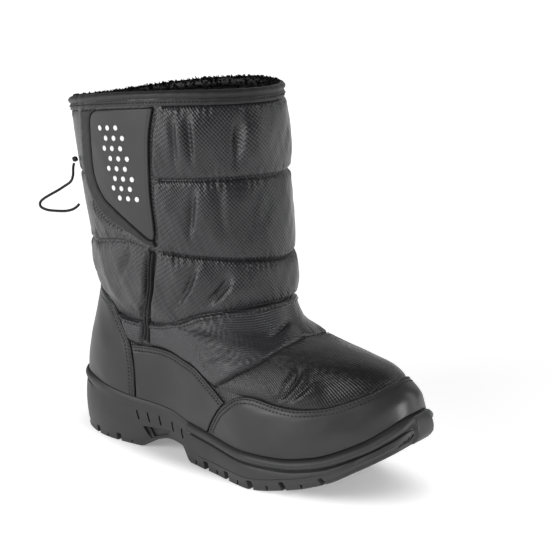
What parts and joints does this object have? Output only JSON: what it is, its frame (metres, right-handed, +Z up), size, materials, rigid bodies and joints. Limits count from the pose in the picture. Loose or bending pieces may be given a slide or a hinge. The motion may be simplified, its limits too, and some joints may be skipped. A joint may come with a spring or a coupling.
{
  "type": "apres ski boot",
  "caption": "Quilted pull-on winter boot with a lugged cup sole, coated toe, side and heel panels, a side flap and a drawcord loop.",
  "frame": {"origin": "on the floor under the middle of the boot's bounding box, measured without the drawcord and its knot", "axes": "+X towards the toe, +Y towards the inner side of the foot, +Z up"},
  "size_m": [0.3074, 0.1219, 0.2726],
  "materials": {
    "rubber": "moulded satin",
    "coated": "satin coated synthetic leather",
    "nylon": "twill nylon with a soft sheen",
    "binding": "matt woven",
    "felt": "matt fleece",
    "elastic": "braided elastic"
  },
  "bodies": {
    "root": {"outsole": "rubber", "insole": "felt", "upper": "nylon", "toe_cap": "coated", "side_panel_outer": "coated", "side_panel_inner": "coated", "heel_counter": "coated", "collar_binding": "binding", "closure_flap": "coated", "flap_binding": "binding", "side_seam_piping": "binding", "drawcord": "elastic", "cord_knot": "elastic"}
  },
  "joints": []
}
